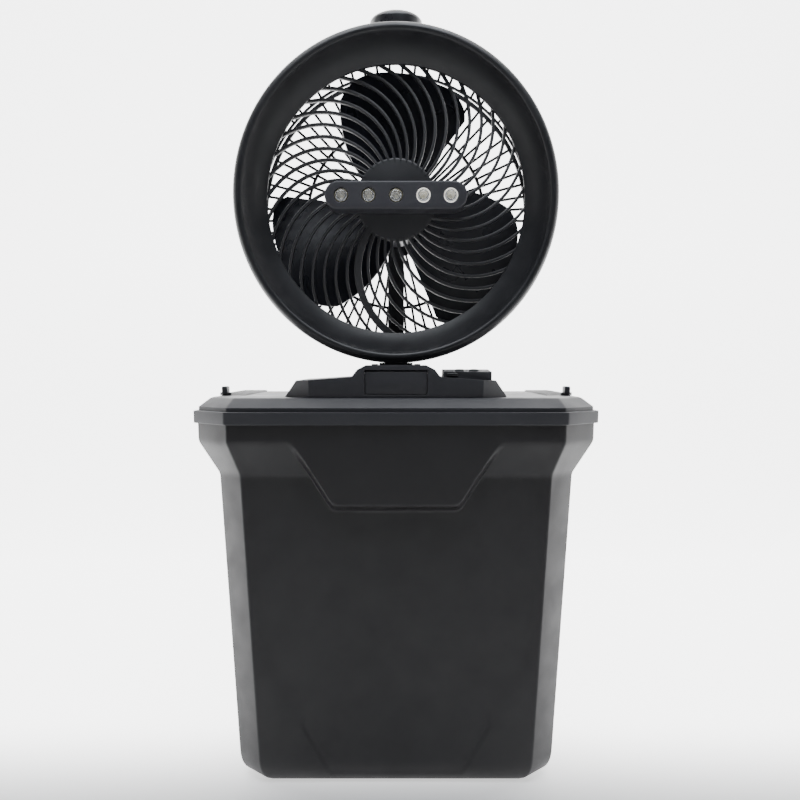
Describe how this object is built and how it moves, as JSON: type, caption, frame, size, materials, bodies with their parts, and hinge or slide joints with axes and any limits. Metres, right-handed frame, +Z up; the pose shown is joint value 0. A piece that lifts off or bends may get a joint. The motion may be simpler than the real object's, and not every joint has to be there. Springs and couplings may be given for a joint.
{
  "type": "tank-top portable fan",
  "caption": "Battery fan head with light bar on a swivel and tilt neck, fixed to the lift-off lid of a tapered water tank.",
  "frame": {"origin": "middle of the tank's flat base, on the surface it stands on", "axes": "+Z up, the fan blows towards -Y, +X is the user's right facing the fan"},
  "size_m": [0.38, 0.241, 0.7464],
  "materials": {
    "tank": "satin moulded black, fine grain",
    "lid": "satin charcoal",
    "head": "fine satin charcoal",
    "trim": "satin",
    "light_bar": "satin grey",
    "blade": "smooth dark blue black",
    "button": "soft grey",
    "window": "smoked",
    "rubber": "matt",
    "nylon": "natural",
    "steel": "plated",
    "motor": "cast",
    "windings": "enamelled",
    "rotor_steel": "ground",
    "reflector": "bright",
    "board": "solder resist",
    "battery": "shrink wrap"
  },
  "bodies": {
    "tank": {"tank_shell": "tank"},
    "lid": {"lid": "lid", "lid_gasket": "rubber", "pedestal_cover": "lid", "port_cover_pin": "steel", "charging_socket": "rubber", "control_module": "trim", "indicator_window": "window", "battery_tray": "lid", "battery_pack": "battery", "control_board": "board", "swivel_bush": "nylon"},
    "lock_left": {"lid_lock_left": "trim", "lid_lock_cam_left": "nylon"},
    "lock_right": {"lid_lock_right": "trim", "lid_lock_cam_right": "nylon"},
    "port_door": {"port_cover": "trim"},
    "power_key": {"power_button": "button"},
    "light_key": {"light_button": "button"},
    "neck": {"swivel_neck": "lid", "swivel_nut": "steel", "tilt_pin": "steel", "tilt_washer_left": "nylon", "tilt_washer_right": "nylon"},
    "head": {"bezel": "head", "drum_shell": "head", "front_grille": "head", "rear_grille": "head", "cable_duct": "head", "motor_housing": "motor", "motor_stator": "windings", "front_bearing": "steel", "rear_bearing": "steel", "motor_screw_1": "steel", "motor_screw_2": "steel", "motor_screw_3": "steel", "motor_screw_4": "steel", "led_bar_housing": "light_bar", "led_board": "board", "led_lens_1": "reflector", "led_lens_2": "reflector", "led_lens_3": "reflector", "led_lens_4": "reflector", "led_lens_5": "reflector", "dial_switch": "rubber"},
    "rotor": {"impeller": "blade", "impeller_nut": "steel", "motor_shaft": "steel", "motor_rotor": "rotor_steel"},
    "dial": {"speed_dial": "head", "dial_spindle": "steel"}
  },
  "joints": [
    {"name": "lid_lift", "type": "slide", "parent": "tank", "child": "lid", "axis": [0, 0, 1], "range_m": [0, 0.12]},
    {"name": "lid_lock_left_turn", "type": "hinge", "parent": "lid", "child": "lock_left", "pos_m": [-0.168, -0.039, 0.385], "axis": [0, 0, 1], "range_deg": [0, 90]},
    {"name": "lid_lock_right_turn", "type": "hinge", "parent": "lid", "child": "lock_right", "pos_m": [0.168, -0.039, 0.385], "axis": [0, 0, -1], "range_deg": [0, 90]},
    {"name": "port_cover_lift", "type": "hinge", "parent": "lid", "child": "port_door", "pos_m": [0, -0.098, 0.4073], "axis": [-1, 0, 0], "range_deg": [0, 90]},
    {"name": "power_button_press", "type": "slide", "parent": "lid", "child": "power_key", "axis": [0, 0.0646, -0.9979], "range_m": [0, 0.0012], "stiffness_N_per_m": 400},
    {"name": "light_button_press", "type": "slide", "parent": "lid", "child": "light_key", "axis": [0, 0.0646, -0.9979], "range_m": [0, 0.0012], "stiffness_N_per_m": 400},
    {"name": "head_swivel", "type": "hinge", "parent": "lid", "child": "neck", "pos_m": [0, 0, 0.385], "axis": [0, 0, 1], "range_deg": [-45, 45]},
    {"name": "head_tilt", "type": "hinge", "parent": "neck", "child": "head", "pos_m": [0, 0, 0.4095], "axis": [-1, 0, 0], "range_deg": [-6, 15]},
    {"name": "fan_spin", "type": "hinge", "parent": "head", "child": "rotor", "pos_m": [0, 0, 0.5689], "axis": [0, 1, 0], "continuous": true},
    {"name": "speed_dial_turn", "type": "hinge", "parent": "head", "child": "dial", "pos_m": [0, 0, 0.7204], "axis": [0, 0, -1], "range_deg": [0, 270]}
  ]
}
